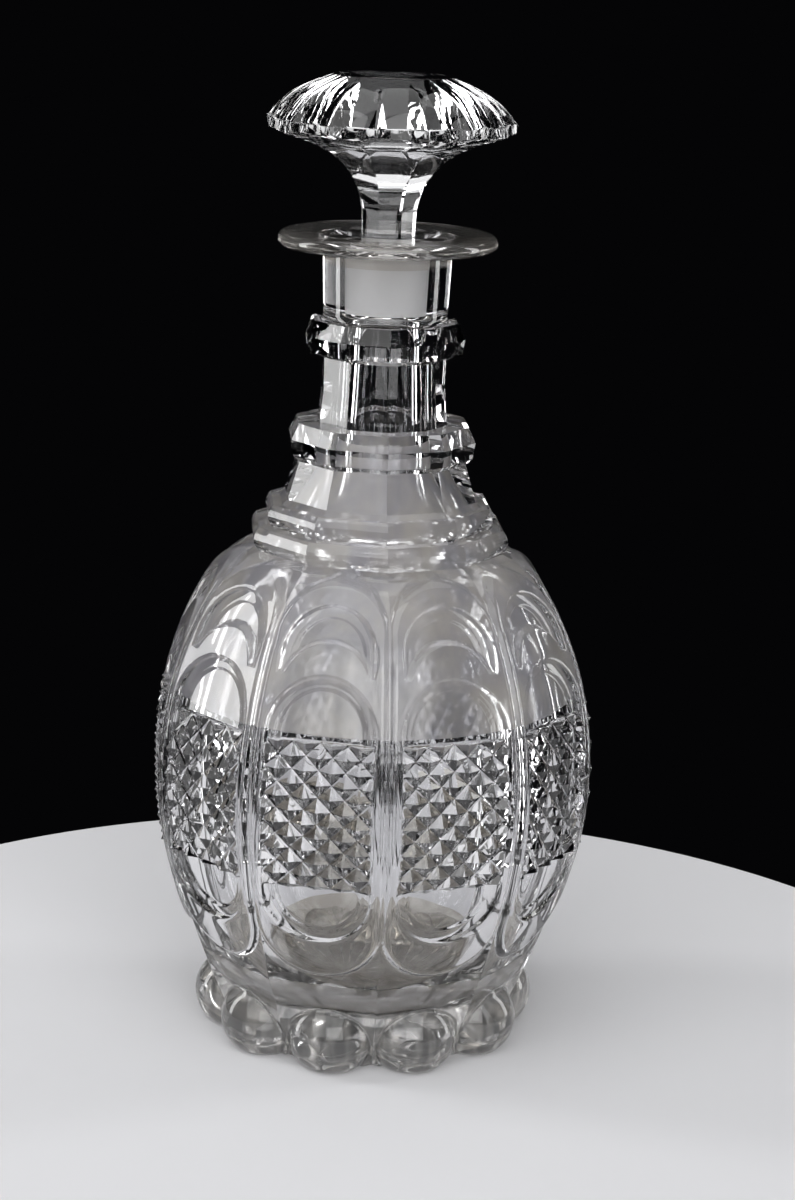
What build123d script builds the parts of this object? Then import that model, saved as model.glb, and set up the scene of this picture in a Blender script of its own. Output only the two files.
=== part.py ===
"""Cut crystal carafe: a ten-sided cut bottle on a petal foot, and its fluted mushroom stopper.

Millimetres, +Z up, origin on the table under the axis of the bottle. The front of the bottle
is -Y, where one of the ten ribs stands. Radii of ten-sided forms are measured to the flats.
"""
import math
import os

from build123d import *

os.makedirs("parts", exist_ok=True)

# Sides of the cut forms
bottle_sides = 10
flute_count = 16
stem_sides = 8
star_rays = 20

# Foot
foot_height = 17.6
foot_core_radius = 36.0
petal_offset = 36.0
petal_radius = 12.1
petal_sole_radius = 8.0
petal_toe_radius = 11.6
petal_toe_height = 3.2
petal_bulge_height = 7.6
petal_root = 1.2
petal_root_radius = 7.4
star_depth = 1.0
star_ray_width = 5.0
star_eye_radius = 6.0
star_radius = 41.0

# Body
body_height = 123.0
waist_radius = 45.4
belly_radius = 60.3
shoulder_radius = 37.6

# Points of the body outline: shares of its height, and how far in from the belly radius
belly_share = 0.503
under_belly_share = 0.28
under_belly_inset = 3.5
over_belly_share = 0.68
over_belly_inset_share = 0.101
slope_share = 0.93
slope_inset = 14.6

# Panels: bevelled frames with arches, and the sunk fields in them
field_depth = 1.9
panel_root = 0.3
frame_width = 3.5
groove_gap = 0.72
side_bevel = 1.1
arch_bevel = 1.0
field_bevel = 1.1
window_lap = 0.8
window_horn_rise = 5.0
frame_top_drop = 0.9
window_top_drop = 7.6
hood_top_drop = 15.8
hood_bottom_drop = 25.1
frame_bottom_rise = 12.8
field_bottom_rise = 24.8

# Diamond pads, heights below the shoulder
pad_top_drop = 41.7
pad_height = 40.4
pad_proud = 0.95
pad_root = 1.0
pad_lap = 0.3
diamond_depth = 1.9
pad_columns = 8
pad_rows = 11

# Step rings between body and neck
lower_step_height = 6.6
lower_step_radius = 35.0
upper_step_height = 6.0
upper_step_radius = 31.2
step_round = 1.4
step_neck_radius = 27.4

# Neck
lower_neck_height = 11.8
lower_neck_foot_radius = 25.9
lower_neck_radius = 22.9
lower_ring_height = 10.5
lower_ring_radius = 25.3
middle_neck_height = 18.1
middle_neck_foot_radius = 17.5
middle_neck_radius = 16.7
upper_ring_height = 10.2
upper_ring_radius = 21.5
ring_ledge = 1.6
ring_edge = 0.7
ring_crown_drop = 4.3
ring_top_inset = 2.0
collar_height = 19.6
collar_foot_radius = 17.0
collar_radius = 17.7
lip_thickness = 4.0
lip_radius = 30.0
lip_root = 1.5
lip_bevel = 1.1
mouth_radius = 14.4
funnel_radius = 9.85

# Inside of the bottle
cavity_floor = 15.5
cavity_floor_radius = 30.0
cavity_floor_rise = 3.0
cavity_wall = 6.0
cavity_neck_radius = 15.5
neck_bore_radius = 8.2
neck_bore_foot_radius = 10.5

# Ground peg and its seat
peg_radius = 7.4
peg_taper = 0.35
peg_length = 16.0
peg_clearance = 0.05
peg_bevel = 0.5
seat_depth = 5.6

# Stopper above its peg, heights above the lip and radii to the flats
stem_foot_radius = 6.8
stem_radius = 7.2
stem_height = 5.0
cap_throat_radius = 18.4
cap_throat_rise = 22.8
cap_under_radius = 31.7
cap_under_rise = 27.9
cap_edge_slope = 0.35
cap_radius = 31.9
cap_edge_rise = 30.5
cap_upper_radius = 30.7
cap_upper_rise = 32.4
cap_shoulder_radius = 27.2
cap_shoulder_rise = 36.3
cap_dome_radius = 22.0
cap_dome_rise = 39.6
crown_radius = 15.5
crown_rise = 42.3
crown_hollow = 0.5
flute_radius = 15.0

# Levels and angles that follow from the sizes above
waist_z = foot_height
shoulder_z = waist_z + body_height
lower_step_z = shoulder_z + lower_step_height
upper_step_z = lower_step_z + upper_step_height
lower_ring_z = upper_step_z + lower_neck_height
middle_neck_z = lower_ring_z + lower_ring_height
upper_ring_z = middle_neck_z + middle_neck_height
collar_z = upper_ring_z + upper_ring_height
lip_z = collar_z + collar_height
top_z = lip_z + lip_thickness
pad_top_z = shoulder_z - pad_top_drop
pad_bottom_z = pad_top_z - pad_height
frame_top_z = shoulder_z - frame_top_drop
frame_bottom_z = waist_z + frame_bottom_rise
window_top_z = shoulder_z - window_top_drop
hood_top_z = shoulder_z - hood_top_drop
field_top_z = shoulder_z - hood_bottom_drop
field_bottom_z = waist_z + field_bottom_rise
seat_top_z = top_z - seat_depth
peg_bottom_z = seat_top_z - peg_length
half_angle = math.radians(180 / bottle_sides)
widest = belly_radius / math.cos(half_angle) + petal_radius


def body_point(share, inset):
    """Point of the body outline at a share of the body height, in from the belly radius."""
    return (belly_radius - inset, waist_z + share * body_height)


def body_arcs():
    """The body outline from the waist up: four arcs, each tangent to the next."""
    belly = ThreePointArc(
        body_point(under_belly_share, under_belly_inset),
        body_point(belly_share, 0),
        body_point(over_belly_share, over_belly_inset_share * (belly_radius - shoulder_radius)),
    )
    under = TangentArc(belly @ 0, (waist_radius, waist_z), tangent=belly % 0 * -1)
    over = TangentArc(belly @ 1, body_point(slope_share, slope_inset), tangent=belly % 1)
    shoulder = TangentArc(over @ 1, (shoulder_radius, shoulder_z), tangent=over % 1)
    return (ThreePointArc(under @ 1, under @ 0.5, under @ 0), belly, over, shoulder)


body_outline = body_arcs()


def sunk_points(arc, depth):
    """Start, middle and end of an arc of the outline, moved square to it towards the axis."""
    points = []
    for place in (0, 0.5, 1):
        along = arc % place
        points.append((arc @ place) + Vector(-along.Y, along.X) * depth)
    return points


def body_line(depth):
    """The body outline as lines, sunk square to the surface by a depth."""
    return [ThreePointArc(*sunk_points(arc, depth)) for arc in body_outline]


def body_radius(height):
    """Radius of the body outline at a height."""
    arc = next((arc for arc in body_outline if height <= (arc @ 1).Y), body_outline[-1])
    centre = arc.arc_center
    across = math.sqrt(max(arc.radius**2 - (height - centre.Y) ** 2, 0))
    return centre.X + math.copysign(across, (arc @ 0.5).X - centre.X)


def panel_half_width(height):
    """Half the width of a panel between its two grooves."""
    return body_radius(height) * math.tan(half_angle) - groove_gap


field_radius = panel_half_width(pad_top_z) - frame_width
pad_width = 2 * (field_radius + pad_lap)


def arch_radius(apex, downwards, inset):
    """Radius of a round end with its apex at a height, as wide as the panel where it springs."""
    radius = panel_half_width(apex) - inset
    for _ in range(20):
        radius = panel_half_width(apex - downwards * radius) - inset
    return radius


def frame_outline():
    """Flat outline of a panel: an arch, a round bottom, and sides that follow the grooves."""
    top_radius = arch_radius(frame_top_z, 1, 0)
    bottom_radius = arch_radius(frame_bottom_z, -1, 0)
    belly_z = waist_z + belly_share * body_height
    with BuildSketch() as outline:
        with BuildLine():
            over = ThreePointArc(
                (-top_radius, frame_top_z - top_radius),
                (0, frame_top_z),
                (top_radius, frame_top_z - top_radius),
            )
            right = ThreePointArc(
                over @ 1,
                (panel_half_width(belly_z), belly_z),
                (bottom_radius, frame_bottom_z + bottom_radius),
            )
            ThreePointArc(right @ 1, (0, frame_bottom_z), (-bottom_radius, frame_bottom_z + bottom_radius))
            mirror(right, about=Plane.YZ)
        make_face()
    return outline.sketch


def arched_field(top, bottom, radius):
    """Flat outline of a sunk field: straight sides and two round ends."""
    with BuildSketch() as outline:
        with Locations((0, (top + bottom) / 2)):
            SlotOverall(top - bottom, 2 * radius, rotation=90)
    return outline.sketch


def panel_skin():
    """The glass that the relief is cut in: it follows the body outline, wider than a panel."""
    with BuildPart() as skin:
        with BuildSketch(Plane.XZ.offset(-belly_radius / 2)):
            with BuildLine():
                outer = body_line(0)
                inner = body_line(field_depth + panel_root)
                Polyline(outer[-1] @ 1, ((inner[-1] @ 1).X, shoulder_z), inner[-1] @ 1)
                Line(inner[0] @ 0, outer[0] @ 0)
            make_face()
        extrude(amount=belly_radius)
    return skin.part


def side_plane(angle):
    """Upright plane through the axis, with X pointing out at an angle and Y up."""
    across, along = math.cos(math.radians(angle)), math.sin(math.radians(angle))
    return Plane((0, 0, 0), x_dir=(across, along, 0), z_dir=(along, -across, 0))


def flat_cut(profile, sides):
    """Solid with flat-cut sides. The profile reaches across the axis and bounds each side in turn."""
    with BuildPart() as solid:
        for side in range(sides):
            with BuildSketch(side_plane(side * 360 / sides)):
                add(profile)
            extrude(amount=widest, both=True, mode=Mode.INTERSECT if side else Mode.ADD)
    return solid.part


def core_profile():
    """Outline of the ten-sided core: foot, waist, spandrels, step rings, neck and neck rings."""
    with BuildSketch() as profile:
        with BuildLine():
            body = body_line(field_depth)
            foot = Line((foot_core_radius, 0), body[0] @ 0)
            lower_lap = Line(body[-1] @ 1, (lower_step_radius - step_round, shoulder_z))
            lower_step = ThreePointArc(
                lower_lap @ 1,
                (lower_step_radius, (shoulder_z + lower_step_z) / 2),
                (lower_step_radius - step_round, lower_step_z),
            )
            upper_lap = Line(lower_step @ 1, (upper_step_radius - step_round, lower_step_z))
            upper_step = ThreePointArc(
                upper_lap @ 1,
                (upper_step_radius, (lower_step_z + upper_step_z) / 2),
                (upper_step_radius - step_round, upper_step_z),
            )
            neck = Polyline(
                upper_step @ 1,
                (step_neck_radius, upper_step_z),
                (lower_neck_foot_radius, upper_step_z + step_round),
                (lower_neck_radius, lower_ring_z),
                *ring_points(lower_ring_radius, lower_ring_z, middle_neck_z),
                (middle_neck_foot_radius, middle_neck_z),
                (middle_neck_radius, (middle_neck_z + upper_ring_z) / 2),
                (middle_neck_radius, upper_ring_z),
                *ring_points(upper_ring_radius, upper_ring_z, collar_z),
            )
            Polyline(neck @ 1, (-widest, collar_z), (-widest, 0), foot @ 0)
        make_face()
    return profile.sketch


def ring_points(radius, bottom, top):
    """Corners of a bevelled neck ring: lower edge, ridge and upper edge."""
    return (
        (radius - ring_edge, bottom + ring_ledge),
        (radius, top - ring_crown_drop),
        (radius - ring_top_inset, top),
    )


def window_outline():
    """Flat outline of the upper field of a panel, a crescent between the two arches."""
    window_radius = arch_radius(window_top_z, 1, frame_width)
    hood_radius = arch_radius(hood_top_z, 1, frame_width) - window_lap
    with BuildSketch() as outline:
        with Locations((0, window_top_z - window_radius)):
            Circle(window_radius)
        with Locations((0, hood_top_z - hood_radius)):
            Circle(hood_radius, mode=Mode.SUBTRACT)
        with Locations((0, hood_top_z - hood_radius + window_horn_rise)):
            Rectangle(widest, widest, align=(Align.CENTER, Align.MAX), mode=Mode.SUBTRACT)
    return outline.sketch


def front_edges(panel, border):
    """Edges of the uncut front of a panel that lie over some edges of a flat outline."""
    found = ShapeList()
    for edge in panel.edges():
        middle = edge @ 0.5
        flat_middle = Vertex(middle.Y, middle.Z)
        on_front = abs(middle.X - body_radius(middle.Z)) < 0.01
        if on_front and min(line.distance_to(flat_middle) for line in border) < 0.01:
            found.append(edge)
    return found


def framed_panel():
    """One panel towards +X: a bevelled frame with two arches over sunk fields."""
    frame = frame_outline()
    field = arched_field(field_top_z, field_bottom_z, field_radius)
    with BuildPart() as panel:
        add(panel_skin())
        with BuildSketch(Plane.YZ):
            add(frame)
        extrude(amount=widest, mode=Mode.INTERSECT)
        with BuildSketch(Plane.YZ):
            add(field)
            add(window_outline())
        extrude(amount=widest, mode=Mode.SUBTRACT)
        *sides, arch = frame.edges().sort_by(Axis.Y)
        chamfer(front_edges(panel, sides), side_bevel)
        chamfer(front_edges(panel, [arch]), arch_bevel)
        chamfer(front_edges(panel, field.edges()), field_bevel)
    return panel.part


def pad_point(column, row):
    """Corner of the diamond grid: points are proud and the crossings of the grooves lie deep."""
    height = pad_bottom_z + row * pad_height / pad_rows
    radius = body_radius(height) + pad_proud - diamond_depth * ((column + row) % 2)
    return (radius, (column / pad_columns - 0.5) * pad_width, height)


def diamond_pad():
    """One pad towards +X: pyramids between crossed grooves, four faces to each diamond."""
    root = min(body_radius(pad_top_z), body_radius(pad_bottom_z)) - field_depth - pad_root
    faces = []
    for column in range(pad_columns):
        for row in range(pad_rows):
            corners = [(column, row), (column + 1, row), (column + 1, row + 1), (column, row + 1)]
            start = (column + row) % 2
            ring = [pad_point(*corner) for corner in corners[start:] + corners[:start]]
            faces.append(flat_face(ring[0], ring[1], ring[3]))
            faces.append(flat_face(ring[2], ring[3], ring[1]))
    for column in (0, pad_columns):
        edge = [pad_point(column, row) for row in range(pad_rows + 1)]
        faces.append(flat_face(*edge, (root, *edge[-1][1:]), (root, *edge[0][1:])))
    for row in (0, pad_rows):
        edge = [pad_point(column, row) for column in range(pad_columns + 1)]
        faces.append(flat_face(*edge, (root, *edge[-1][1:]), (root, *edge[0][1:])))
    low, high = pad_point(0, 0), pad_point(pad_columns, pad_rows)
    faces.append(
        flat_face(
            (root, low[1], low[2]),
            (root, high[1], low[2]),
            (root, high[1], high[2]),
            (root, low[1], high[2]),
        )
    )
    return Solid(Shell(faces))


def flat_face(*corners):
    """Flat face with the given corners."""
    return Face(Wire.make_polygon([Vector(*corner) for corner in corners]))


def petal():
    """One thick rounded petal of the foot, towards +X."""
    with BuildPart() as lobe:
        with BuildSketch(Plane.XZ):
            with BuildLine():
                sole = Line((petal_offset, 0), (petal_offset + petal_sole_radius, 0))
                side = Polyline(
                    sole @ 1,
                    (petal_offset + petal_toe_radius, petal_toe_height),
                    (petal_offset + petal_radius, petal_bulge_height),
                    (petal_offset + petal_root_radius, foot_height + petal_root),
                )
                Polyline(side @ 1, (petal_offset, foot_height + petal_root), sole @ 0)
            make_face()
        revolve(axis=Axis((petal_offset, 0, 0), (0, 0, 1)))
    return lobe.part


def star_ray():
    """Cutter for one mitred ray of the star under the base, towards +X."""
    near = (star_eye_radius, 0, 0)
    left = (star_radius, star_ray_width / 2, 0)
    right = (star_radius, -star_ray_width / 2, 0)
    deep = (star_radius, 0, star_depth)
    faces = [
        flat_face(near, left, right),
        flat_face(near, deep, left),
        flat_face(near, right, deep),
        flat_face(left, deep, right),
    ]
    return Solid(Shell(faces))


def collar_and_lip():
    """Round collar above the upper neck ring, with the flat bevelled lip on it."""
    with BuildPart() as collar:
        with BuildSketch(Plane.XZ):
            Polygon(
                (0, collar_z - ring_ledge),
                (collar_foot_radius, collar_z - ring_ledge),
                (collar_radius, lip_z - lip_root),
                (collar_radius + lip_root, lip_z),
                (lip_radius - lip_bevel, lip_z),
                (lip_radius, lip_z + lip_bevel),
                (lip_radius, top_z - lip_bevel),
                (lip_radius - lip_bevel, top_z),
                (0, top_z),
                align=None,
            )
        revolve(axis=Axis.Z)
    return collar.part


def hollow():
    """The wine space, the neck bore, the ground seat and the flared mouth."""
    wall = field_depth + cavity_wall
    under, belly, over, shoulder = (sunk_points(arc, wall) for arc in body_outline)
    with BuildPart() as space:
        with BuildSketch(Plane.XZ):
            Polygon(
                (0, cavity_floor),
                (cavity_floor_radius, cavity_floor + cavity_floor_rise),
                *[(point.X, point.Y) for point in (under[0], *belly, *over[1:], shoulder[2])],
                (cavity_neck_radius, upper_step_z),
                (neck_bore_foot_radius, lower_ring_z),
                (neck_bore_radius, peg_bottom_z),
                (peg_radius - peg_taper + peg_clearance, peg_bottom_z),
                (peg_radius + peg_clearance, seat_top_z),
                (funnel_radius, (seat_top_z + top_z) / 2),
                (mouth_radius, top_z),
                (0, top_z),
                align=None,
            )
        revolve(axis=Axis.Z)
    return space.part


def flute():
    """Cutter for one hollow flute of the cap, turned about an upright axis outside the cap."""
    outer_axis = cap_radius + flute_radius
    crown_z = top_z + crown_rise
    with BuildPart() as cutter:
        with BuildSketch(Plane.XZ):
            Polygon(
                (crown_radius, crown_z),
                (cap_dome_radius, top_z + cap_dome_rise),
                (cap_shoulder_radius, top_z + cap_shoulder_rise),
                (cap_upper_radius, top_z + cap_upper_rise),
                (cap_radius, top_z + cap_edge_rise),
                (cap_radius, top_z),
                (outer_axis, top_z),
                (outer_axis, crown_z + crown_hollow),
                (crown_radius, crown_z + crown_hollow),
                align=None,
            )
        revolve(axis=Axis((outer_axis, 0, 0), (0, 0, 1)))
    return cutter.part


def fluted_cap():
    """Cap of the stopper, hollow-fluted on top and still round underneath."""
    blank_radius = cap_radius + flute_radius / 2
    crown_z = top_z + crown_rise
    with BuildPart() as cap:
        with BuildSketch(Plane.XZ):
            Polygon(
                (0, crown_z - crown_hollow),
                (crown_radius, crown_z),
                (blank_radius, crown_z),
                (blank_radius, seat_top_z),
                (0, seat_top_z),
                align=None,
            )
        revolve(axis=Axis.Z)
        with PolarLocations(0, flute_count):
            add(flute(), mode=Mode.SUBTRACT)
    return cap.part


def stem_profile():
    """Outline of one flat side of the stem, flaring out under the cap."""
    with BuildSketch() as profile:
        with BuildLine():
            stem = Line((stem_foot_radius, seat_top_z), (stem_radius, top_z + stem_height))
            throat = TangentArc(stem @ 1, (cap_throat_radius, top_z + cap_throat_rise), tangent=stem % 1)
            rim_radius = cap_radius + flute_radius
            rim_z = top_z + cap_under_rise + (rim_radius - cap_under_radius) * cap_edge_slope
            Polyline(
                throat @ 1,
                (cap_under_radius, top_z + cap_under_rise),
                (rim_radius, rim_z),
                (rim_radius, top_z + crown_rise),
                (-widest, top_z + crown_rise),
                (-widest, seat_top_z),
                stem @ 0,
            )
        make_face()
    return profile.sketch


def peg():
    """Ground peg with a slight taper, and a small bevel at its foot."""
    foot_radius = peg_radius - peg_taper
    with BuildPart() as plug:
        with BuildSketch(Plane.XZ):
            Polygon(
                (0, peg_bottom_z),
                (foot_radius - peg_bevel, peg_bottom_z),
                (foot_radius, peg_bottom_z + peg_bevel),
                (peg_radius, seat_top_z),
                (0, seat_top_z),
                align=None,
            )
        revolve(axis=Axis.Z)
    return plug.part


with BuildPart() as stopper:
    add(fluted_cap())
    add(flat_cut(stem_profile(), stem_sides), mode=Mode.INTERSECT)
    add(peg())
stopper.part.label = "stopper"
export_step(stopper.part, "parts/stopper.step")

with BuildPart() as sector:
    add(framed_panel())
    add(diamond_pad())

with BuildPart() as bottle:
    add(flat_cut(core_profile(), bottle_sides))
    with PolarLocations(0, bottle_sides):
        add(petal())
    add(collar_and_lip())
    add(hollow(), mode=Mode.SUBTRACT)
    with PolarLocations(0, star_rays):
        add(star_ray(), mode=Mode.SUBTRACT)
    with PolarLocations(0, bottle_sides):
        add(sector.part)
bottle.part.label = "bottle"
export_step(bottle.part, "parts/bottle.step")
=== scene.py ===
import math

import bpy
import numpy as np
from mathutils import Matrix, Vector


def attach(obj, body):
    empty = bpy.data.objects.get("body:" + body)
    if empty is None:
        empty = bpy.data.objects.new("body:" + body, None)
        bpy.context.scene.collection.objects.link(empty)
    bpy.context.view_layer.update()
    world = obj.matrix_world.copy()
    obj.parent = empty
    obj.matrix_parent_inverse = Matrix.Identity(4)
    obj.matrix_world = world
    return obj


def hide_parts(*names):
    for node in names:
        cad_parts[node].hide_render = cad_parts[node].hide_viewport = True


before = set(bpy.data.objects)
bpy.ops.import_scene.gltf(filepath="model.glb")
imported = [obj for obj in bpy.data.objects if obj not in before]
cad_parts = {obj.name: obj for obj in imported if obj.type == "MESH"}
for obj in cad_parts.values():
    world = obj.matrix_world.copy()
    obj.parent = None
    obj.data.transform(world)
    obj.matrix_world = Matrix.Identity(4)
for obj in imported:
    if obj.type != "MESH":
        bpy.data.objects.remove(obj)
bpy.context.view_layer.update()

# Lengths are in millimetres down to the stage, and MM turns them into metres
MM = 0.001
SIDES = 10
HALF_TAN = math.tan(math.pi / SIDES)

# Body of the bottle: radius to the flats and height
WAIST = (45.4, 17.6)
BELLY = [(56.8, 52.04), (60.3, 79.47), (58.007, 101.24)]
SHOULDER_SLOPE = (45.7, 131.99)
SHOULDER = (37.6, 140.6)
FIELD_DEPTH = 1.9
GROOVE_GAP = 0.72
ROLL_WIDTH = 3.5

# Points along the arcs of the outline
BELLY_POINTS, SLOPE_POINTS, SHOULDER_POINTS = 200, 150, 100

# Cut of the arches: roundings, widths, and shares of the depth at the crease and at the ledge
OUTER_ROUND, INNER_ROUND, HOOD_ROUND = 1.75, 1.75, 1.2
COVE_WIDTH, STEP_WIDTH = 2.8, 0.6
CREASE, LEDGE = 0.4, 0.75
FRAME_TOP, FRAME_BOTTOM = 139.7, 30.4
FIELD_TOP, FIELD_BOTTOM = 115.5, 42.4
WINDOW_TOP, HOOD_TOP = 133.0, 124.8
WINDOW_HORN_RISE = 5.0
WINDOW_LAP = 0.8

# A first value for the radius of a round end, and how often it is improved
FIRST_ARCH_RADIUS, ARCH_PASSES = 14.0, 20

# Diamond pads
PAD_TOP, PAD_BOTTOM = 98.9, 58.5
PAD_COLUMNS, PAD_ROWS, PAD_SPLIT = 8, 11, 6
PAD_PROUD, DIAMOND_DEPTH = 0.94, 1.9
PAD_LAP = 0.3

# Mesh of the bottle: columns in a sector, and rows and their spacing
SIDE_COLUMNS = 13
FIRST_SIDE_SHARE = 0.015
FIRST_BASE_SHARE = 0.02
WIDEST_PAD_SHARE = 0.79
BASE_ROWS, FOOT_ROWS, WALL_ROWS, MOUTH_ROWS = 40, 30, 90, 12
STEP_RING_ROWS, LIP_ROOT_ROWS, LIP_EDGE_ROWS = 9, 6, 13
LOW_ROW_STEP, HIGH_ROW_STEP, NECK_ROW_STEP = 0.5, 0.4, 6.0
COLLAR_ROW_STEP, SEAT_ROW_STEP, BORE_ROW_STEP = 3.0, 2.0, 4.0
WALL_POINTS = 7

# From the ends of the pads to the next row, and the room kept below the pads and the step rings
PAD_EDGE, BELOW_PADS, BELOW_STEP_RINGS = 0.05, 0.2, 0.9

# Slack for rounded numbers, in millimetres and in cells of a pad
SLACK, CELL_SLACK = 1e-6, 1e-9

# Foot and star-cut base
FOOT_CORE = 36.0
PETAL_OFFSET = 36.0
PETAL_PROFILE = [(8.0, 0.0), (12.1, 6.4), (7.0, 18.8)]
PETAL_TOP = 18.8
LOWEST_FOOT_ROW = 1.0
STAR_EYE, STAR_RIM, STAR_RAY_HALF, STAR_DEPTH = 6.0, 41.0, 2.5, 1.0

# Step rings, neck, rings and collar
STEP_RINGS = [(33.6, 35.0, 140.6, 147.2), (29.8, 31.2, 147.2, 153.2)]
NECK = [
    (27.4, 153.2), (25.9, 154.6), (22.9, 165.0), (24.6, 166.6), (25.3, 171.2), (23.3, 175.5),
    (17.5, 175.5), (16.7, 184.5), (16.7, 193.6), (20.8, 195.2), (21.5, 199.5), (19.5, 203.8),
]
COLLAR = [(17.0, 203.8), (17.7, 221.9)]
LIP_ROOT, LIP_RADIUS, LIP_BOTTOM, TOP = 1.5, 30.0, 223.4, 227.4
LIP_TOP_RADII = (24.0, 19.0, 15.4)

# Inside
MOUTH = [(14.4, 227.4), (9.85, 224.6), (7.45, 221.8)]
SEAT_FOOT = (7.1, 205.8)
BORE = [(8.2, 205.8), (10.5, 165.0)]
WALL = 6.0
CAVITY_NECK = (15.5, 153.2)
CAVITY_FLOOR = [(30.0, 18.5), (0.0, 15.5)]
# Lowest height of the whitish veil on the inner wall, partly clouding and partly painted
# reflection, and the top of the brown residue
CLOUD_AND_PAINTED_VEIL_BOTTOM, RESIDUE_TOP = 97.0, 26.0

# Stopper
FLUTES = 16
FLUTE_COLUMNS = 20
FLUTE_RADIUS = 15.0
STEM_SIDES = 8
ROUND_STEM_RADIUS = 20.0
PEG = [(6.55, 205.8), (7.05, 206.3), (7.4, 221.8)]
STEM = [(6.8, 221.8), (7.2, 232.4)]
FLARE = [(7.2, 232.4), (7.8, 236.3), (11.1, 243.7), (18.4, 250.2), (31.7, 255.3)]
EDGE_SLOPE = 0.35
CAP_RADIUS = 31.9
DOME = [(31.9, 257.9), (30.7, 259.8), (27.2, 263.7), (22.0, 267.0), (15.5, 269.7)]
CROWN_HOLLOW = 0.5

# Mesh of the stopper: rows across the peg's end, up the rim and over the cap, and their spacing
PEG_END_RADII = (0.5, 3.0)
RIM_SHARES = (0.02, 0.5, 0.98)
LAST_CROWN_SHARE = 0.04
FLARE_ROWS, DOME_ROWS, CROWN_ROWS = 60, 40, 14
PEG_ROW_STEP, STEM_ROW_STEP = 2.0, 4.0

# Camera fitted to the photograph, with its angles in degrees
CAMERA_DISTANCE = 819.7
CAMERA_HEIGHT = 327.5
CAMERA_AZIMUTH = 4.5
CAMERA_PITCH = 13.9
CAMERA_YAW = 0.42
CAMERA_ROLL = 2.0
SENSOR_HEIGHT = 36.0
FOCAL_LENGTH = 90.45

# Stage, in metres, and the nearest that the camera sees
NEAREST_SEEN = 0.01
FLOOR_RADIUS = 0.19
FLOOR_DROP = 0.0002
FLOOR_CORNERS = 128
FLOOR_COLOUR = (0.72, 0.72, 0.74)
STUDIO_COLOUR = (0.0015, 0.0015, 0.0018)

# Lamps: name, place, the point it faces, width and height, and power in watts
LAMPS = [
    ("key_softbox", (-0.33, -1.0, 1.1), (0, 0, 0.13), (2.2, 2.2), 26),
    ("front_fill", (0.1, -1.35, 0.5), (0, 0, 0.14), (1.1, 0.9), 7),
    ("top_softbox", (0, 0.2, 1.2), (0, 0, 0.1), (1.1, 0.9), 3),
    ("left_strip", (-0.7, 0.15, 0.35), (0, 0, 0.15), (0.15, 0.8), 2.5),
    ("right_strip", (0.75, 0.1, 0.3), (0, 0, 0.15), (0.15, 0.8), 2),
]

# Kinds of surface: the flat-shaded ones, and the material slot of those that aren't plain crystal
FLAT_KINDS = ["flat", "pad", "ground_flat"]
FINISH_SLOTS = {"ground": 1, "ground_flat": 1, "clouded": 2, "worn": 3, "streaked": 4, "residue": 5}

# Indices of refraction
CRYSTAL_INDEX = 1.55
GROUND_INDEX = 1.05


def smooth_curve(points, count, start=None, end=None):
    """Points of a smooth curve through given ones, even in chord length."""
    known = np.array(points, float)
    steps = np.hypot(*np.diff(known, axis=0).T)
    at = np.concatenate(([0.0], np.cumsum(steps)))
    size = len(at)
    matrix = np.zeros((size, size))
    right = np.zeros((size, 2))
    matrix[0, 0] = matrix[-1, -1] = 1.0
    right[0] = start if start is not None else end_slope(at[:4], known[:4], at[0])
    right[-1] = end if end is not None else end_slope(at[-4:], known[-4:], at[-1])
    for i in range(1, size - 1):
        before, after = steps[i - 1], steps[i]
        matrix[i, i - 1: i + 2] = after, 2 * (before + after), before
        rise, next_rise = (known[i] - known[i - 1]) / before, (known[i + 1] - known[i]) / after
        right[i] = 3 * (after * rise + before * next_rise)
    slopes = np.linalg.solve(matrix, right)
    wanted = np.linspace(0, at[-1], count)
    place = np.clip(np.searchsorted(at, wanted) - 1, 0, size - 2)
    span = steps[place][:, None]
    t = ((wanted - at[place]) / steps[place])[:, None]
    return (
        (2 * t**3 - 3 * t**2 + 1) * known[place]
        + (t**3 - 2 * t**2 + t) * span * slopes[place]
        + (3 * t**2 - 2 * t**3) * known[place + 1]
        + (t**3 - t**2) * span * slopes[place + 1]
    )


def end_slope(at, known, where):
    """Slope at an end of a curve, from the cubic through its nearest four points."""
    curves = [np.polyfit(at, known[:, axis], len(at) - 1) for axis in (0, 1)]
    return [np.polyval(np.polyder(curve), where) for curve in curves]


def sunk(curve, depth):
    """A curve moved square to itself, towards the axis."""
    run = np.concatenate(([0], np.cumsum(np.hypot(*np.diff(curve, axis=0).T))))
    along = np.gradient(curve, run, axis=0)
    along /= np.hypot(along[:, 0], along[:, 1])[:, None]
    return np.column_stack((curve[:, 0] - depth * along[:, 1], curve[:, 1] + depth * along[:, 0]))


def swept(start, heading, end, count):
    """Points of the arc that leaves a point at a heading, in radians, and ends at another point."""
    chord = np.subtract(end, start)
    bend = math.remainder(math.atan2(chord[1], chord[0]) - heading, 2 * math.pi)
    share = np.linspace(0, 1, count)
    reach = np.hypot(*chord) * np.sin(bend * share) / math.sin(bend)
    turned = heading + bend * share
    return np.column_stack((start[0] + reach * np.cos(turned), start[1] + reach * np.sin(turned)))


def heading_at(before, after):
    """Direction from a point to the next one, in radians."""
    return math.atan2(after[1] - before[1], after[0] - before[0])


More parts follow.
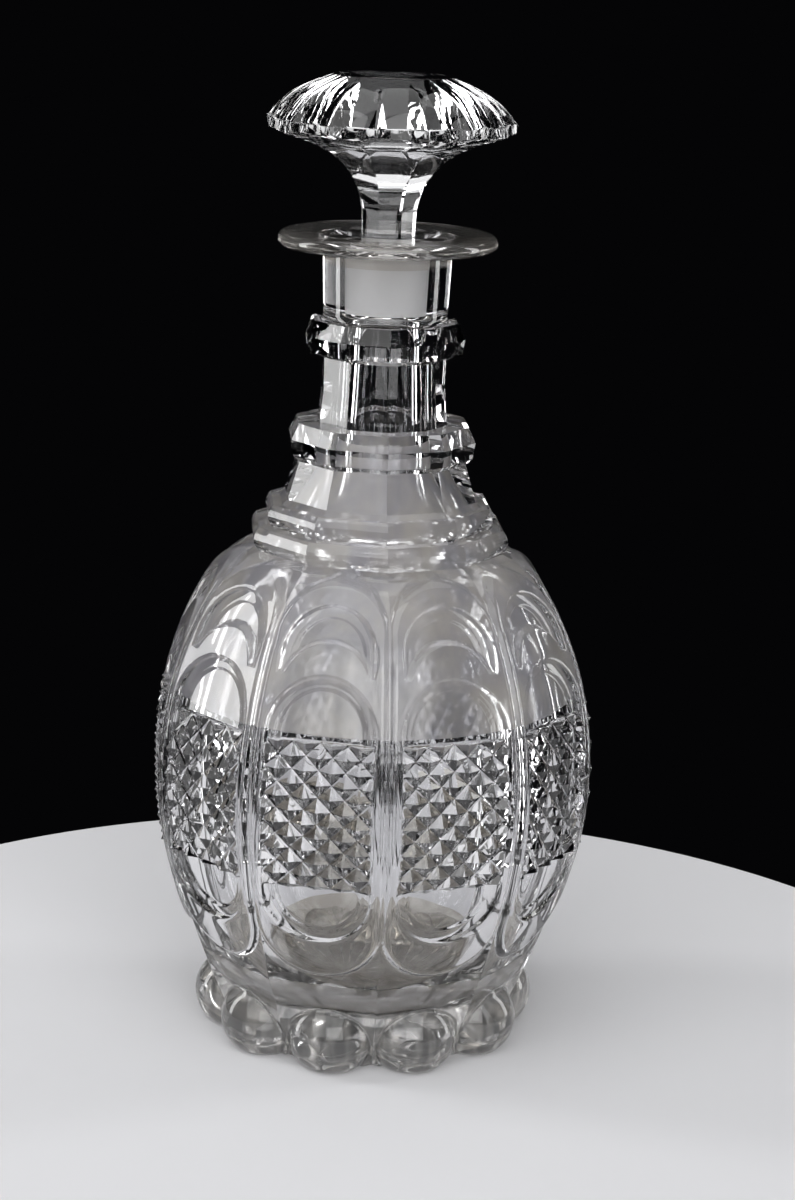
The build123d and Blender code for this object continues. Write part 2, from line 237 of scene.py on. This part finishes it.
def body_curve():
    """The body outline from the waist up: four arcs, each tangent to the next."""
    low, middle, high = BELLY
    bend = heading_at(middle, high) - heading_at(low, middle)
    start = heading_at(low, high) - bend
    end = heading_at(low, high) + bend
    belly = swept(low, start, high, BELLY_POINTS)
    under = swept(low, start + math.pi, WAIST, SLOPE_POINTS)[::-1]
    over = swept(high, end, SHOULDER_SLOPE, SLOPE_POINTS)
    leaving = 2 * heading_at(high, SHOULDER_SLOPE) - end
    shoulder = swept(SHOULDER_SLOPE, leaving, SHOULDER, SHOULDER_POINTS)
    return np.vstack((under[:-1], belly[:-1], over[:-1], shoulder))


OUTLINE = body_curve()
CORE = np.vstack(([[FOOT_CORE, 0.0]], sunk(OUTLINE, FIELD_DEPTH)))


def outline_radius(z):
    """Radius of the rolls and arches at a height."""
    return np.interp(z, OUTLINE[:, 1], OUTLINE[:, 0])


def core_radius(z):
    """Radius of the spandrels, grooves and sunk fields at a height."""
    return np.interp(z, CORE[:, 1], CORE[:, 0])


def panel_half_width(z):
    """Half the width of a panel between its grooves."""
    return outline_radius(z) * HALF_TAN - GROOVE_GAP


def arch_radius(apex, downwards, inset):
    """Radius of a round end with its apex at a height."""
    radius = FIRST_ARCH_RADIUS
    for _ in range(ARCH_PASSES):
        radius = float(panel_half_width(apex - downwards * radius)) - inset
    return radius


def inside_slot(v, z, top, bottom, radius):
    """Distance inwards from the edge of an upright slot."""
    over = np.maximum(0, np.maximum(z - (top - radius), (bottom + radius) - z))
    return radius - np.hypot(v, over)


def inside_frame(v, z):
    """Distance inwards from the edge of a panel."""
    top = arch_radius(FRAME_TOP, 1, 0)
    bottom = arch_radius(FRAME_BOTTOM, -1, 0)
    at_sides = panel_half_width(z) - np.abs(v)
    at_top = top - np.hypot(v, z - FRAME_TOP + top)
    at_bottom = bottom - np.hypot(v, z - FRAME_BOTTOM - bottom)
    inside = np.where(z > FRAME_TOP - top, at_top, at_sides)
    return np.where(z < FRAME_BOTTOM + bottom, at_bottom, inside)


def rounded(distance, width):
    """Share of the depth that is left at a distance from an edge, falling in a quarter round."""
    t = np.clip(distance / width, 0, 1)
    return 1 - np.sqrt(1 - (1 - t) ** 2)


def moulded(distance):
    """Share of the depth inside an arch: over its roll, down a cove, then a low step."""
    over = CREASE * (1 - np.sqrt(1 - np.clip(distance / INNER_ROUND + 1, 0, 1) ** 2))
    cove = (1 - (1 - np.clip(distance / COVE_WIDTH, 0, 1)) ** 2) * (LEDGE - CREASE)
    step = np.clip((distance - COVE_WIDTH) / STEP_WIDTH, 0, 1)
    return over + cove + (1 - LEDGE) * step**2 * (3 - 2 * step)


def window_depth(v, z):
    """Share of the depth in the crescent between the two arches."""
    outer = arch_radius(WINDOW_TOP, 1, ROLL_WIDTH)
    hood = arch_radius(HOOD_TOP, 1, ROLL_WIDTH) - WINDOW_LAP
    centre = HOOD_TOP - hood
    under_arch = moulded(inside_slot(v, z, WINDOW_TOP, FIELD_BOTTOM, outer))
    over_hood = rounded(hood - np.hypot(v, z - centre), HOOD_ROUND)
    over_horn = rounded(centre + WINDOW_HORN_RISE - z, HOOD_ROUND)
    return np.minimum(under_arch, np.minimum(over_hood, over_horn))


FIELD_RADIUS = float(panel_half_width(PAD_TOP)) - ROLL_WIDTH
PAD_HALF = FIELD_RADIUS + PAD_LAP


def relief(v, z):
    """Distance from the axis to the surface of a panel, measured square to its flat."""
    depth = np.maximum.reduce([
        rounded(inside_frame(v, z), OUTER_ROUND),
        moulded(inside_slot(v, z, FIELD_TOP, FIELD_BOTTOM, FIELD_RADIUS)),
        window_depth(v, z),
    ])
    return outline_radius(z) + (core_radius(z) - outline_radius(z)) * depth


def diamonds(v, z):
    """Distance from the axis to the diamond pad: pyramids between crossed grooves."""
    column = (v / PAD_HALF + 1) * PAD_COLUMNS / 2
    row = (z - PAD_BOTTOM) / (PAD_TOP - PAD_BOTTOM) * PAD_ROWS
    cell_column = np.clip(np.floor(column + CELL_SLACK), 0, PAD_COLUMNS - 1)
    cell_row = np.clip(np.floor(row + CELL_SLACK), 0, PAD_ROWS - 1)
    across, up = column - cell_column, row - cell_row
    across = np.where((cell_column + cell_row) % 2 == 1, 1 - across, across)
    fall = 1 - np.abs(1 - (across + up))
    levels = np.linspace(PAD_BOTTOM, PAD_TOP, PAD_ROWS + 1)
    return np.interp(z, levels, outline_radius(levels)) + PAD_PROUD - DIAMOND_DEPTH * fall


def column_shares():
    """Places of the columns in a sector: evenly over the pad, then out to the grooves."""
    pad = np.linspace(-1, 1, PAD_COLUMNS * PAD_SPLIT + 1)
    side = np.linspace(FIRST_SIDE_SHARE, 1, SIDE_COLUMNS)
    return pad, side


def column_places(edge):
    """Sideways places of a sector's columns, from its left boundary up to its right one."""
    pad, side = column_shares()
    inner = min(PAD_HALF, WIDEST_PAD_SHARE * edge)
    left = -inner - (edge - inner) * side[::-1]
    right = inner + (edge - inner) * side[:-1]
    return np.concatenate((left, pad * inner, right))


def body_row(z):
    """One row of the body."""
    v = column_places(float(core_radius(z)) * HALF_TAN)
    height = np.full_like(v, z)
    x = relief(v, height)
    if PAD_BOTTOM - SLACK <= z <= PAD_TOP + SLACK:
        on_pad = np.abs(v) <= PAD_HALF + SLACK
        x = np.where(on_pad, np.maximum(x, diamonds(v, height)), x)
    x[0] = core_radius(z)
    return x, v, height


def flat_row(radius, z):
    """One row of a ten-sided cut form."""
    v = column_places(radius * HALF_TAN)
    return np.full_like(v, radius), v, np.full_like(v, z)


def column_angles():
    """Angles of a sector's columns where the form is round."""
    return np.arctan(column_places(HALF_TAN))


def round_row(radius, z):
    """One row of a round form."""
    angle = column_angles()
    return radius * np.cos(angle), radius * np.sin(angle), np.full_like(angle, z)


def petal_width(z):
    """Radius of a petal at a height, on the circle through three points of its profile."""
    (r0, z0), (r1, z1), (r2, z2) = PETAL_PROFILE
    matrix = [[r1 - r0, z1 - z0], [r2 - r0, z2 - z0]]
    known = [
        (r1**2 - r0**2 + z1**2 - z0**2) / 2,
        (r2**2 - r0**2 + z2**2 - z0**2) / 2,
    ]
    centre_r, centre_z = np.linalg.solve(matrix, known)
    radius = math.hypot(r0 - centre_r, z0 - centre_z)
    return centre_r + math.sqrt(max(radius**2 - (z - centre_z) ** 2, 0))


def foot_reach(angle, z):
    """Reach of the foot at an angle in a sector: its core or its petal, whichever is more."""
    core = core_radius(z) / np.cos(angle)
    left = petal_width(z) ** 2 - (PETAL_OFFSET * np.sin(angle)) ** 2
    petal = PETAL_OFFSET * np.cos(angle) + np.sqrt(np.maximum(left, 0))
    return np.where(left > 0, np.maximum(core, petal), core)


def foot_row(z):
    """One row of the side of the foot."""
    angle = column_angles()
    reach = foot_reach(angle, z)
    return reach * np.cos(angle), reach * np.sin(angle), np.full_like(angle, z)


def star_height(angle, reach):
    """Height of the star-cut base above the table."""
    turned = np.abs(angle) - np.where(np.abs(angle) > math.pi / (2 * SIDES), math.pi / SIDES, 0)
    share = np.clip((reach - STAR_EYE) / (STAR_RIM - STAR_EYE), 0, None)
    share = np.where(reach > STAR_RIM, 0, share)
    aside = np.abs(reach * np.sin(turned)) / np.maximum(share * STAR_RAY_HALF, SLACK)
    return STAR_DEPTH * share * np.clip(1 - aside, 0, 1)


def base_row(share):
    """One row of the star-cut base, at a share of its reach."""
    angle = column_angles()
    reach = foot_reach(angle, 0.0) * share
    return reach * np.cos(angle), reach * np.sin(angle), star_height(angle, reach)


def between(points, step):
    """Points along straight runs, no further apart than a step, without the last one."""
    found = []
    for (r0, z0), (r1, z1) in zip(points, points[1:]):
        count = max(1, math.ceil(math.hypot(r1 - r0, z1 - z0) / step))
        found += [(r0 + (r1 - r0) * i / count, z0 + (z1 - z0) * i / count) for i in range(count)]
    return found


def arc(centre, radius, first, last, count):
    """Points of an arc, angles in degrees."""
    turns = np.radians(np.linspace(first, last, count))
    return [(centre[0] + radius * math.cos(t), centre[1] + radius * math.sin(t)) for t in turns]


def step_ring(inner, outer, bottom, top):
    """Side of a rounded step ring, an arc through three points."""
    half = (top - bottom) / 2
    swell = outer - inner
    radius = (half**2 + swell**2) / (2 * swell)
    turn = math.degrees(math.asin(half / radius))
    return arc((outer - radius, bottom + half), radius, -turn, turn, STEP_RING_ROWS)


def flat_rows(profile):
    """Rows of a ten-sided cut form, from the points of its profile."""
    return [flat_row(r, z) for r, z in profile]


def round_rows(profile):
    """Rows of a round form, from the points of its profile."""
    return [round_row(r, z) for r, z in profile]


def body_levels():
    """Heights of the rows of the body: closest together over the pads."""
    return np.concatenate((
        np.arange(PETAL_TOP, PAD_BOTTOM - BELOW_PADS, LOW_ROW_STEP),
        [PAD_BOTTOM - PAD_EDGE],
        np.linspace(PAD_BOTTOM, PAD_TOP, PAD_ROWS * PAD_SPLIT + 1),
        [PAD_TOP + PAD_EDGE],
        np.arange(PAD_TOP + HIGH_ROW_STEP, OUTLINE[-1, 1] - BELOW_STEP_RINGS, HIGH_ROW_STEP),
    ))


def lip_profile():
    """Profile of the lip: its root on the collar, its round edge and its top."""
    root = (COLLAR[-1][0] + LIP_ROOT, LIP_BOTTOM - LIP_ROOT)
    half = (TOP - LIP_BOTTOM) / 2
    edge = arc((LIP_RADIUS - half, TOP - half), half, -90, 90, LIP_EDGE_ROWS)
    return arc(root, LIP_ROOT, 180, 90, LIP_ROOT_ROWS) + edge + [(r, TOP) for r in LIP_TOP_RADII]


def inner_wall():
    """The wall of the wine space, from the bore down to the middle of its floor."""
    walls = sunk(OUTLINE, FIELD_DEPTH + WALL)
    places = np.linspace(0, len(walls) - 1, WALL_POINTS + 1).astype(int)[1:]
    points = [BORE[-1], CAVITY_NECK, *walls[places][::-1], *CAVITY_FLOOR]
    return smooth_curve(points, WALL_ROWS, start=(0.0, -1.0), end=(-1.0, 0.0))


def stacked(blocks):
    """The rows of all blocks in one list, with the kind of the surface that ends at each row."""
    rows = [row for block, kind in blocks for row in block]
    kinds = [kind for block, kind in blocks for row in block]
    return rows, kinds


def bottle_rows():
    """Rows of the bottle from the middle of the base, up the outside and down the inside."""
    foot_levels = np.linspace(LOWEST_FOOT_ROW, PETAL_TOP - HIGH_ROW_STEP, FOOT_ROWS)
    rings = [point for ring in STEP_RINGS for point in step_ring(*ring)]
    seat = [MOUTH[-1], SEAT_FOOT]
    wall = inner_wall()[:-1]
    height = wall[:, 1]
    return stacked([
        ([base_row(share) for share in np.linspace(FIRST_BASE_SHARE, 1, BASE_ROWS)], "flat"),
        # Side of the foot: petals with painted highlight streaks
        ([foot_row(z) for z in foot_levels], "streaked"),
        ([body_row(z) for z in body_levels()], "body"),
        (flat_rows(rings + between(NECK, NECK_ROW_STEP) + NECK[-1:]), "flat"),
        (round_rows(between(COLLAR, COLLAR_ROW_STEP)), "smooth"),
        (round_rows(lip_profile()), "worn"),
        (round_rows(smooth_curve(MOUTH, MOUTH_ROWS)), "smooth"),
        (round_rows(between(seat, SEAT_ROW_STEP) + seat[-1:]), "ground"),
        (round_rows(between(BORE, BORE_ROW_STEP)), "smooth"),
        # Inner wall above the pads: clouding with a painted veil of reflected light
        (round_rows(wall[height > CLOUD_AND_PAINTED_VEIL_BOTTOM]), "clouded"),
        (round_rows(wall[(height > RESIDUE_TOP) & (height <= CLOUD_AND_PAINTED_VEIL_BOTTOM)]), "smooth"),
        (round_rows(wall[height <= RESIDUE_TOP]), "residue"),
    ])


STOPPER_TURN = np.arange(FLUTES * FLUTE_COLUMNS) * 2 * math.pi / (FLUTES * FLUTE_COLUMNS)


def within_side(sides):
    """Angles of the stopper's columns, each from the middle of the side that it is in."""
    side = 2 * math.pi / sides
    return (STOPPER_TURN + side / 2) % side - side / 2


IN_STEM_SIDE, IN_FLUTE = within_side(STEM_SIDES), within_side(FLUTES)
FLARE_CURVE = smooth_curve(FLARE, FLARE_ROWS, start=(0.0, 1.0), end=(1.0, EDGE_SLOPE))


def stopper_row(reach, z):
    """One row of the stopper."""
    height = np.broadcast_to(z, STOPPER_TURN.shape).astype(float)
    return reach * np.cos(STOPPER_TURN), reach * np.sin(STOPPER_TURN), height


def scalloped(radius):
    """Reach of the cap at a radius, where the flutes cut into it."""
    axis = CAP_RADIUS + FLUTE_RADIUS
    hollow = np.sqrt((axis - radius) ** 2 - (axis * np.sin(IN_FLUTE)) ** 2)
    return axis * np.cos(IN_FLUTE) - hollow


def underside(reach):
    """Height of the underside of the cap at a reach."""
    square = reach * np.cos(IN_STEM_SIDE)
    beyond = np.maximum(square - FLARE_CURVE[-1, 0], 0) * EDGE_SLOPE
    return np.interp(square, FLARE_CURVE[:, 0], FLARE_CURVE[:, 1]) + beyond


def flare_reaches():
    """Reaches of the rows of the flare: eight-sided at the stem, like the cap at the rim."""
    rim = scalloped(CAP_RADIUS)
    edge = FLARE_CURVE[-1, 0]
    reaches = []
    for radius in FLARE_CURVE[:-1, 0]:
        octagon = radius / np.cos(IN_STEM_SIDE)
        share = np.clip((radius - ROUND_STEM_RADIUS) / (edge - ROUND_STEM_RADIUS), 0, 1)
        reaches.append(octagon * (1 - share) + rim * share * radius / edge)
    return reaches + [rim]


def crown_rows():
    """Rows of the slightly hollow crown, inwards."""
    rows = []
    for share in np.linspace(1, LAST_CROWN_SHARE, CROWN_ROWS):
        height = DOME[-1][1] - CROWN_HOLLOW * (1 - share**2)
        rows.append(stopper_row(scalloped(DOME[-1][0]) * share, height))
    return rows


def stopper_rows():
    """Rows of the stopper from the middle of the peg's end, up to the middle of its crown."""
    peg_end = [*PEG_END_RADII, PEG[0][0]]
    peg = between(PEG, PEG_ROW_STEP)[1:] + PEG[-1:]
    stem = between(STEM, STEM_ROW_STEP)
    rim = scalloped(CAP_RADIUS)
    low = underside(rim)
    return stacked([
        ([stopper_row(r, PEG[0][1]) for r in peg_end], "ground_flat"),
        ([stopper_row(r, z) for r, z in peg], "ground"),
        ([stopper_row(r / np.cos(IN_STEM_SIDE), z) for r, z in stem], "flat"),
        ([stopper_row(reach, underside(reach)) for reach in flare_reaches()], "flat"),
        ([stopper_row(rim, low + (DOME[0][1] - low) * share) for share in RIM_SHARES], "smooth"),
        ([stopper_row(scalloped(r), z) for r, z in smooth_curve(DOME, DOME_ROWS)], "smooth"),
        (crown_rows(), "smooth"),
    ])


def grid_faces(count_rows, count_columns, splits):
    """Triangles of a grid that wraps round, and of the fan to a pole at either end."""
    index = np.arange(count_rows * count_columns).reshape(count_rows, count_columns)
    ahead = np.roll(index, -1, axis=1)
    a, b, c, d = index[:-1], ahead[:-1], ahead[1:], index[1:]
    first = np.where(splits[..., None], np.stack((a, b, d), -1), np.stack((a, b, c), -1))
    second = np.where(splits[..., None], np.stack((b, c, d), -1), np.stack((a, c, d), -1))
    low_pole = np.full(count_columns, index.size)
    low_fan = np.stack((ahead[0], index[0], low_pole), -1)
    high_fan = np.stack((index[-1], ahead[-1], low_pole + 1), -1)
    return np.vstack((first.reshape(-1, 3), second.reshape(-1, 3), low_fan, high_fan))


def finish_faces(mesh, kinds):
    """Sets the shading and the material slot of each face by its kind."""
    columns = kinds.shape[1]
    low_fan, high_fan = [kinds[0, 0]] * columns, [kinds[-1, 0]] * columns
    face_kinds = np.concatenate((kinds.ravel(), kinds.ravel(), low_fan, high_fan))
    slots = np.zeros(len(face_kinds), np.int32)
    for kind, slot in FINISH_SLOTS.items():
        slots[face_kinds == kind] = slot
    mesh.polygons.foreach_set("use_smooth", ~np.isin(face_kinds, FLAT_KINDS))
    mesh.polygons.foreach_set("material_index", slots)


def closed_mesh(name, grid, kinds, splits, low_pole, high_pole):
    """A closed mesh of a grid of points that wraps round, with a pole at either end."""
    points = np.column_stack([part.ravel() for part in grid])
    points = np.vstack((points, low_pole, high_pole)) * MM
    faces = grid_faces(*grid[0].shape, splits)
    mesh = bpy.data.meshes.new(name)
    mesh.vertices.add(len(points))
    mesh.vertices.foreach_set("co", points.astype(np.float32).ravel())
    mesh.loops.add(faces.size)
    mesh.loops.foreach_set("vertex_index", faces.astype(np.int32).ravel())
    mesh.polygons.add(len(faces))
    mesh.polygons.foreach_set("loop_start", np.arange(0, faces.size, 3, dtype=np.int32))
    mesh.polygons.foreach_set("loop_total", np.full(len(faces), 3, np.int32))
    finish_faces(mesh, kinds)
    mesh.update(calc_edges=True)
    mesh.validate()
    piece = bpy.data.objects.new(name, mesh)
    bpy.context.scene.collection.objects.link(piece)
    return piece


def sector_faces(row_kinds, levels, columns):
    """Kinds of a sector's cells, and which way each is split: on the pads, along the grooves."""
    names = ["smooth" if kind == "body" else kind for kind in row_kinds[1:]]
    kinds = np.array([[name] * columns for name in names], dtype="U12")
    splits = np.zeros(kinds.shape, bool)
    pad = slice(SIDE_COLUMNS, SIDE_COLUMNS + PAD_COLUMNS * PAD_SPLIT)
    cell_column = np.arange(PAD_COLUMNS * PAD_SPLIT) // PAD_SPLIT
    for i, low in enumerate(levels[:-1]):
        if row_kinds[i] == "body" and PAD_BOTTOM - SLACK <= low < PAD_TOP - SLACK:
            cell_row = int((low - PAD_BOTTOM + SLACK) / (PAD_TOP - PAD_BOTTOM) * PAD_ROWS)
            kinds[i, pad] = "pad"
            splits[i, pad] = (cell_column + cell_row) % 2 == 0
    return kinds, splits


def make_bottle():
    """The bottle: cut outside, wine space, bore, ground seat and mouth, in one closed mesh."""
    rows, row_kinds = bottle_rows()
    x, v, z = (np.array([row[part] for row in rows]) for part in range(3))
    turn = (np.arange(SIDES) * 2 * math.pi / SIDES)[None, :, None]
    round_x = x[:, None] * np.cos(turn) - v[:, None] * np.sin(turn)
    round_y = x[:, None] * np.sin(turn) + v[:, None] * np.cos(turn)
    round_z = np.repeat(z[:, None], SIDES, 1)
    grid = [part.reshape(len(rows), -1) for part in (round_x, round_y, round_z)]
    sector = sector_faces(row_kinds, z[:, 0], x.shape[1])
    kinds, splits = (np.tile(part, (1, SIDES)) for part in sector)
    floor = (0, 0, CAVITY_FLOOR[-1][1])
    return closed_mesh("cut_bottle", grid, kinds, splits, (0, 0, 0), floor)


def make_stopper():
    """The stopper: ground peg, eight-sided stem and fluted cap."""
    rows, row_kinds = stopper_rows()
    grid = [np.array([row[part] for row in rows]) for part in range(3)]
    kinds = np.array([[kind] * len(STOPPER_TURN) for kind in row_kinds[1:]], dtype="U12")
    splits = np.zeros(kinds.shape, bool)
    peg_end, crown = (0, 0, PEG[0][1]), (0, 0, DOME[-1][1] - CROWN_HOLLOW)
    return closed_mesh("fluted_stopper", grid, kinds, splits, peg_end, crown)


def new_material(name):
    """A new material with only a shader in it."""
    material = bpy.data.materials.new(name)
    material.use_nodes = True
    nodes, links = material.node_tree.nodes, material.node_tree.links
    nodes.clear()
    output = nodes.new("ShaderNodeOutputMaterial")
    shader = nodes.new("ShaderNodeBsdfPrincipled")
    links.new(shader.outputs["BSDF"], output.inputs["Surface"])
    return material, nodes, links, shader


def noise(nodes, links, place, scale, detail):
    """A noise texture over given coordinates."""
    texture = nodes.new("ShaderNodeTexNoise")
    texture.inputs["Scale"].default_value = scale
    texture.inputs["Detail"].default_value = detail
    links.new(place, texture.inputs["Vector"])
    return texture


def object_space(nodes):
    """Coordinates in the space of the object."""
    return nodes.new("ShaderNodeTexCoord").outputs["Object"]


def uneven_roughness(nodes, links, texture, shader, reach, levels):
    """A roughness that follows a texture: its reach, and the least and most roughness."""
    ramp = nodes.new("ShaderNodeMapRange")
    ramp.inputs["From Min"].default_value, ramp.inputs["From Max"].default_value = reach
    ramp.inputs["To Min"].default_value, ramp.inputs["To Max"].default_value = levels
    links.new(texture.outputs["Fac"], ramp.inputs["Value"])
    links.new(ramp.outputs["Result"], shader.inputs["Roughness"])


def relief_bump(nodes, links, texture, shader, strength, depth):
    """Fine relief that follows a texture, with its depth in metres."""
    bump = nodes.new("ShaderNodeBump")
    bump.inputs["Strength"].default_value = strength
    bump.inputs["Distance"].default_value = depth
    links.new(texture.outputs["Fac"], bump.inputs["Height"])
    links.new(bump.outputs["Normal"], shader.inputs["Normal"])


def crystal_material():
    """Polished lead crystal, with the faint waviness of hand polish and a thin uneven film."""
    material, nodes, links, shader = new_material("cut_crystal")
    shader.inputs["Base Color"].default_value = (0.97, 0.97, 0.985, 1)
    shader.inputs["IOR"].default_value = CRYSTAL_INDEX
    shader.inputs["Transmission Weight"].default_value = 1.0
    space = object_space(nodes)
    film = noise(nodes, links, space, scale=60, detail=3)
    uneven_roughness(nodes, links, film, shader, reach=(0.5, 0.75), levels=(0.0, 0.05))
    waves = noise(nodes, links, space, scale=90, detail=1)
    relief_bump(nodes, links, waves, shader, strength=0.15, depth=0.0002)
    return material


def film_and_painted_light_material(name, transmission, dark, light, roughness, grain, stretch):
    """Crystal with uneven patches between two tints, with their own blur: a thin film on some
    parts, painted highlight and shade on others.
    """
    material, nodes, links, shader = new_material(name)
    shader.inputs["IOR"].default_value = CRYSTAL_INDEX
    shader.inputs["Transmission Weight"].default_value = transmission
    squeezed = nodes.new("ShaderNodeMapping")
    squeezed.inputs["Scale"].default_value = (1, 1, stretch)
    links.new(object_space(nodes), squeezed.inputs["Vector"])
    patchy_noise = noise(nodes, links, squeezed.outputs["Vector"], scale=grain, detail=6)
    patchy_noise.inputs["Distortion"].default_value = 0.6
    tint = nodes.new("ShaderNodeValToRGB")
    for stop, place, colour in zip(tint.color_ramp.elements, (0.4, 0.64), (dark, light)):
        stop.position = place
        stop.color = (*colour, 1)
    links.new(patchy_noise.outputs["Fac"], tint.inputs["Fac"])
    links.new(tint.outputs["Color"], shader.inputs["Base Color"])
    uneven_roughness(nodes, links, patchy_noise, shader, reach=(0.3, 0.7), levels=roughness)
    return material


def cloud_and_painted_veil_material():
    """Crystal on the inner wall of the bottle above the pads, under a whitish veil that is partly
    the clouding old wine leaves and partly a painted reflection of the soft light from front-above.
    """
    return film_and_painted_light_material(
        "cloud_and_painted_veil_crystal", transmission=0.6, dark=(0.74, 0.73, 0.78), light=(1.0, 0.95, 0.88),
        roughness=(0.03, 0.18), grain=70, stretch=0.7,
    )


def worn_material():
    """The handled lip, with a thin warm film and fine rubbing."""
    return film_and_painted_light_material(
        "worn_crystal", transmission=0.96, dark=(0.78, 0.74, 0.69), light=(0.95, 0.93, 0.9),
        roughness=(0.02, 0.12), grain=50, stretch=1,
    )


def painted_highlight_streaks_material():
    """The petals of the foot, dulled by standing, with painted highlight and shade streaks running
    up them, in place of the light that the star-cut base fans up through the petals.
    """
    return film_and_painted_light_material(
        "painted_highlight_streaks_crystal", transmission=0.85, dark=(0.4, 0.4, 0.4), light=(1.0, 0.98, 0.95),
        roughness=(0.0, 0.14), grain=320, stretch=0.12,
    )


def residue_material():
    """The lowest part of the wine space, under a thin brown residue."""
    return film_and_painted_light_material(
        "residue_crystal", transmission=0.82, dark=(0.4, 0.35, 0.27), light=(0.82, 0.77, 0.66),
        roughness=(0.03, 0.2), grain=60, stretch=2.5,
    )


def ground_material():
    """The frosted grinding of the peg and of its seat."""
    material, nodes, links, shader = new_material("ground_crystal")
    shader.inputs["Base Color"].default_value = (0.98, 0.98, 0.985, 1)
    shader.inputs["IOR"].default_value = GROUND_INDEX
    shader.inputs["Transmission Weight"].default_value = 0.08
    grain = noise(nodes, links, object_space(nodes), scale=900, detail=2)
    uneven_roughness(nodes, links, grain, shader, reach=(0.0, 1.0), levels=(0.35, 0.6))
    relief_bump(nodes, links, grain, shader, strength=0.4, depth=0.0001)
    return material


def stage_material(name, colour, roughness, variation):
    """A plain matt material with a faint variation."""
    material, nodes, links, shader = new_material(name)
    patchy_noise = noise(nodes, links, object_space(nodes), scale=8, detail=3)
    ramp = nodes.new("ShaderNodeMixRGB")
    ramp.inputs["Color1"].default_value = (*[c * (1 - variation) for c in colour], 1)
    ramp.inputs["Color2"].default_value = (*colour, 1)
    links.new(patchy_noise.outputs["Fac"], ramp.inputs["Fac"])
    links.new(ramp.outputs["Color"], shader.inputs["Base Color"])
    shader.inputs["Roughness"].default_value = roughness
    shader.inputs["Specular IOR Level"].default_value = 0.1
    return material


def round_floor(radius, material):
    """A flat round floor with its middle under the object."""
    turns = np.linspace(0, 2 * math.pi, FLOOR_CORNERS, endpoint=False)
    corners = [(radius * math.cos(t), radius * math.sin(t), -FLOOR_DROP) for t in turns]
    mesh = bpy.data.meshes.new("floor")
    mesh.from_pydata(corners, [], [range(FLOOR_CORNERS)])
    mesh.materials.append(material)
    piece = bpy.data.objects.new("floor", mesh)
    bpy.context.scene.collection.objects.link(piece)


def area_light(name, place, target, size, power):
    """A soft rectangular lamp that faces a point."""
    lamp = bpy.data.lights.new(name, "AREA")
    lamp.shape = "RECTANGLE"
    lamp.size, lamp.size_y = size
    lamp.energy = power
    holder = bpy.data.objects.new(name, lamp)
    holder.location = place
    holder.rotation_euler = (Vector(target) - Vector(place)).to_track_quat("-Z", "Y").to_euler()
    bpy.context.scene.collection.objects.link(holder)


def set_camera():
    """The camera at the photograph's place, from the fit to the outline and the ellipses."""
    camera = bpy.data.cameras.new("camera")
    camera.sensor_fit = "VERTICAL"
    camera.sensor_height = SENSOR_HEIGHT
    camera.lens = FOCAL_LENGTH
    camera.clip_start = NEAREST_SEEN
    holder = bpy.data.objects.new("camera", camera)
    turn = math.radians(CAMERA_AZIMUTH)
    place = Vector((
        -CAMERA_DISTANCE * math.sin(turn) * MM,
        -CAMERA_DISTANCE * math.cos(turn) * MM,
        CAMERA_HEIGHT * MM,
    ))
    heading = Matrix.Rotation(math.radians(-CAMERA_AZIMUTH - CAMERA_YAW), 4, "Z")
    pitch = Matrix.Rotation(math.radians(90 - CAMERA_PITCH), 4, "X")
    roll = Matrix.Rotation(math.radians(CAMERA_ROLL), 4, "Z")
    holder.matrix_world = Matrix.Translation(place) @ heading @ pitch @ roll
    bpy.context.scene.collection.objects.link(holder)
    bpy.context.scene.camera = holder


def set_stage():
    """A pale round floor in a dark studio, with soft lamps above and beside the object."""
    pale_floor = stage_material("pale_floor", FLOOR_COLOUR, roughness=0.9, variation=0.03)
    round_floor(FLOOR_RADIUS, pale_floor)
    for lamp in LAMPS:
        area_light(*lamp)
    world = bpy.data.worlds.new("studio")
    world.use_nodes = True
    background = world.node_tree.nodes["Background"]
    background.inputs["Color"].default_value = (*STUDIO_COLOUR, 1)
    background.inputs["Strength"].default_value = 1.0
    bpy.context.scene.world = world


# In the order of the material slots; the stopper has the polished and the ground one
finishes = [
    crystal_material(), ground_material(), cloud_and_painted_veil_material(),
    worn_material(), painted_highlight_streaks_material(), residue_material(),
]
for piece, body, used in (
    (make_bottle(), "bottle", finishes),
    (make_stopper(), "stopper", finishes[:2]),
):
    for finish in used:
        piece.data.materials.append(finish)
    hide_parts(body)
    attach(piece, body)

set_stage()
set_camera()
bpy.context.scene.view_settings.view_transform = "Standard"
